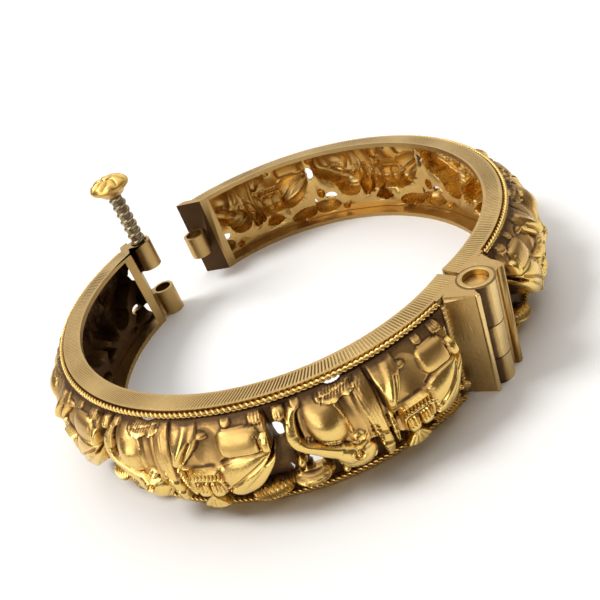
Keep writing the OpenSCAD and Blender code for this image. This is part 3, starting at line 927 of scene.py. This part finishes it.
def make_hinge_rim():
    """The tube's worn rim round the pin, in a sunk ring of solder."""
    rim = turned(RIM_OUTLINE, 56)
    apply(rim, "SOLIDIFY", thickness=0.04, offset=-1.0)
    points = points_of(rim)
    away = np.hypot(points[:, 0], points[:, 1])
    set_recess_and_shade(rim, np.where((away > 2.23) | (points[:, 2] < 0.15), 0.72, 0.3))
    set_on_front(rim, (HINGE_X, 0, HEIGHT + RIM_OUTLINE[0][1]))
    smooth(rim, 40)
    return rim


def make_block_edge():
    """The rolled bright edge down the outer corner of the front half's hinge block."""
    deselect()
    bpy.ops.mesh.primitive_cylinder_add(vertices=14, radius=0.34, depth=HEIGHT - 0.16,
                                        location=(0, 0, HEIGHT / 2))
    edge = bpy.context.object
    bpy.ops.object.transform_apply(location=True, rotation=True, scale=True)
    apply(edge, "BEVEL", width=0.1, segments=2, limit_method="ANGLE", angle_limit=math.radians(60))
    set_recess_and_shade(edge, np.full(len(edge.data.vertices), 0.08))
    set_on_front(edge, (HINGE_X + 1.55, -2.98, 0))
    smooth(edge, 50)
    return edge


def dress_frame(half, ribs):
    """A half's frame with its edges broken, the ribs chased into its upper rail, and painted shade and highlight
    on the hinge barrel and end plate.
    """
    piece = copy_of(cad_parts[f"{half}_frame"])
    piece.parent = None
    for key in list(piece.keys()):
        del piece[key]
    pick(piece)
    bpy.ops.object.mode_set(mode="EDIT")
    bpy.ops.mesh.select_mode(type="VERT")
    bpy.ops.mesh.select_all(action="SELECT")
    bpy.ops.mesh.remove_doubles(threshold=1e-6)
    bpy.ops.mesh.dissolve_limited(angle_limit=math.radians(0.6))
    bpy.ops.object.mode_set(mode="OBJECT")
    apply(piece, "BEVEL", width=0.07 * MM, segments=1, limit_method="ANGLE", angle_limit=math.radians(40))
    on_plate = end_plate_points(piece, half)
    apply(piece, "TRIANGULATE")
    deep = frame_recess_and_shade(points_of(piece), half)
    # The end plate's face takes its half's painted shade
    deep[on_plate] = PLATE_SHADE[half]
    set_recess_and_shade(piece, deep)
    smooth(piece, 12)
    strip = copy_of(ribs)
    set_in_half(strip, round_ring(points_of(strip)), half)
    added = [make_block_edge(), make_hinge_rim()] if half == "front" else []
    dressed = join([piece, strip, *added])
    fit(dressed, f"{half}_frame_dressed", half, "gold_rail", GOLD_RAIL, f"{half}_frame")


def set_frames():
    ribs = make_ribs()
    for half in HALVES:
        dress_frame(half, ribs)
    bpy.data.objects.remove(ribs)
    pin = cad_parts["hinge_pin"]
    pin.data.materials.clear()
    pin.data.materials.append(GOLD_HINGE)


# ---- Clasp screw ----

SHAFT_L = 14.4
LIFT = 9.8
SHAFT_TOP = HEIGHT + LIFT


def set_shaft():
    """A steel core with a coarse thread wound round it."""
    core_r, crest_r, wire_r, pitch, turns = 1.08, 1.4, 0.42, 1.44, 9
    neck = 1.1
    deselect()
    bpy.ops.mesh.primitive_cylinder_add(vertices=32, radius=core_r, depth=SHAFT_L + neck,
                                        location=(0, 0, (neck - SHAFT_L) / 2))
    core = bpy.context.object
    bpy.ops.object.transform_apply(location=True, rotation=True, scale=True)
    apply(core, "BEVEL", width=0.35, segments=2, limit_method="ANGLE", angle_limit=math.radians(40))
    deselect()
    bpy.ops.mesh.primitive_circle_add(vertices=10, radius=wire_r, location=(crest_r - wire_r, 0, 0.9 - SHAFT_L),
                                      rotation=(math.pi / 2, 0, 0))
    thread = bpy.context.object
    bpy.ops.object.transform_apply(location=True, rotation=True, scale=True)
    apply(thread, "SCREW", angle=2 * math.pi, screw_offset=pitch, iterations=turns, steps=28, render_steps=28,
          axis="Z", use_merge_vertices=True, merge_threshold=1e-5)
    close_ends(thread)
    shaft = join([core, thread])
    points = points_of(shaft)
    out = np.hypot(points[:, 0], points[:, 1])
    set_recess_and_shade(shaft, np.clip(0.62 * (crest_r - out) / 0.34, 0.1, 0.62))
    set_on_front(shaft, (-CLASP_R, 0, SHAFT_TOP))
    smooth(shaft, 50)
    fit(shaft, "screw_shaft_threaded", "screw", "screw_steel", SCREW_STEEL, "screw_shaft")


# Outline of the button head: radius and height above its foot
HEAD_OUTLINE = [(1.30, 0.0), (1.82, 0.02), (2.0, 0.25), (2.35, 0.62), (2.85, 0.95), (3.22, 1.22), (3.42, 1.45),
                (3.48, 1.68), (3.44, 1.9), (3.3, 2.08), (3.05, 2.24), (2.7, 2.4), (2.3, 2.58), (1.95, 2.72),
                (1.6, 2.84), (1.3, 2.95), (1.0, 3.04), (0.7, 3.1), (0.4, 3.14), (0.15, 3.15)]


def set_head():
    """Button head: a turned profile with a ring of petals and a raised knob."""
    button = turned(HEAD_OUTLINE, 96, fill="NGON")
    points = points_of(button)
    set_recess_and_shade(button, chase_head(points))
    set_points(button, points)
    button = join([button, make_knob()])
    smooth(button, 50)
    set_on_front(button, (-CLASP_R, 0, SHAFT_TOP))
    fit(button, "screw_head_petalled", "screw", "gold_head", GOLD_HEAD, "screw_head")


def chase_head(points):
    """Raises eight curled petals on the head's upper side and returns how deep each point lies."""
    radius = np.hypot(points[:, 0], points[:, 1])
    angle = np.arctan2(points[:, 1], points[:, 0])
    upper = np.clip((points[:, 2] - 1.7) / 0.3, 0, 1)
    swirl = 8 * angle + 1.5 * (radius - 2)
    petal = np.abs(np.sin(swirl / 2))
    ring = np.clip((radius - 1.0) / 0.4, 0, 1) * np.clip((3.35 - radius) / 0.3, 0, 1)
    points[:, 2] += upper * ring * (0.5 * petal ** 0.7 - 0.16)
    return np.clip(0.3 + upper * ring * 0.5 * (1 - petal) ** 2 + 0.25 * (1 - upper), 0, 1)


def make_knob():
    deselect()
    bpy.ops.mesh.primitive_uv_sphere_add(segments=24, ring_count=12, radius=0.78, location=(0, 0, 3.05))
    knob = bpy.context.object
    knob.scale = (1.0, 1.0, 0.55)
    bpy.ops.object.transform_apply(location=True, rotation=True, scale=True)
    set_recess_and_shade(knob, np.full(len(knob.data.vertices), 0.2))
    return knob


# ---- Put together ----

set_frieze(make_elephant())
set_ropes()
set_edge_wires()
set_frames()
set_shaft()
set_head()


# ---- Floor, light and camera ----

def set_stage():
    deselect()
    bpy.ops.mesh.primitive_plane_add(size=6.0, location=(0, 0, 0))
    floor = bpy.context.object
    floor.name = "floor"
    paper = bpy.data.materials.new("pale_paper")
    paper.use_nodes = True
    shader = paper.node_tree.nodes["Principled BSDF"]
    shader.inputs["Base Color"].default_value = (0.955, 0.955, 0.95, 1.0)
    shader.inputs["Roughness"].default_value = 0.9
    shader.inputs["Specular IOR Level"].default_value = 0.1
    floor.data.materials.append(paper)


def set_light(name, kind, place, energy, **settings):
    """A light of one kind at a place in metres, turned to the bangle."""
    lamp = bpy.data.lights.new(name, kind)
    lamp.energy = energy
    for key, value in settings.items():
        setattr(lamp, key, value)
    holder = bpy.data.objects.new(name, lamp)
    scene.collection.objects.link(holder)
    holder.location = place
    holder.rotation_euler = (-Vector(place)).to_track_quat("-Z", "Y").to_euler()
    return holder


def set_lights():
    """A wide sun, its wash that the metal doesn't show, and a reflector that only the metal shows."""
    sun_way, diffused = (-0.21, -0.14, 0.34), math.radians(22.0)
    set_light("key", "SUN", sun_way, 0.8, angle=diffused)
    wash = set_light("wash", "SUN", sun_way, 1.1, angle=diffused)
    wash.visible_glossy = False
    fill = set_light("fill", "AREA", (0.0, -0.4, 0.27), 1.2, shape="SQUARE", size=0.4)
    fill.visible_diffuse = False


def set_surroundings():
    """A pale backdrop, and light that is brightest above and behind the photograph's view."""
    world = bpy.data.worlds.new("studio")
    scene.world = world
    world.use_nodes = True
    tree = world.node_tree
    tree.nodes.clear()
    way = node(tree, "ShaderNodeTexCoord").outputs["Generated"]
    towards = node(tree, "ShaderNodeVectorMath", {0: way, 1: (-0.30, 0.35, 0.88)}, operation="DOT_PRODUCT")
    amount = stretch(tree, towards.outputs["Value"], 0.36, 0.92)
    dim, bright, backdrop = (0.15, 0.112, 0.082, 1.0), (1.3, 1.285, 1.26, 1.0), (1.0, 1.0, 0.995, 1.0)
    lighting = blend_colours(tree, amount, dim, bright)
    seen = node(tree, "ShaderNodeLightPath").outputs["Is Camera Ray"]
    shade = blend_colours(tree, seen, lighting, backdrop)
    sky = node(tree, "ShaderNodeBackground", {"Color": shade})
    node(tree, "ShaderNodeOutputWorld", {"Surface": sky.outputs[0]})


def set_camera():
    """The photograph's viewpoint, solved from the rims of both halves."""
    azimuth, elevation, roll = (math.radians(a) for a in (48.92, 31.6, -22.09))
    back = Vector((math.sin(azimuth) * math.cos(elevation), -math.cos(azimuth) * math.cos(elevation),
                   math.sin(elevation)))
    level = Vector((0, 0, 1)).cross(back).normalized()
    rise = back.cross(level)
    right = level * math.cos(roll) + rise * math.sin(roll)
    up = rise * math.cos(roll) - level * math.sin(roll)
    lens = bpy.data.cameras.new("camera")
    lens.lens = 41.66
    lens.sensor_width = 36.0
    lens.clip_start = 0.001
    camera = bpy.data.objects.new("camera", lens)
    scene.collection.objects.link(camera)
    turn = Matrix((right, up, back)).transposed().to_4x4()
    camera.matrix_world = Matrix.Translation(Vector((71.99, -63.0, 63.51)) * MM) @ turn
    scene.camera = camera


set_stage()
set_lights()
set_surroundings()
set_camera()

bpy.context.view_layer.update()
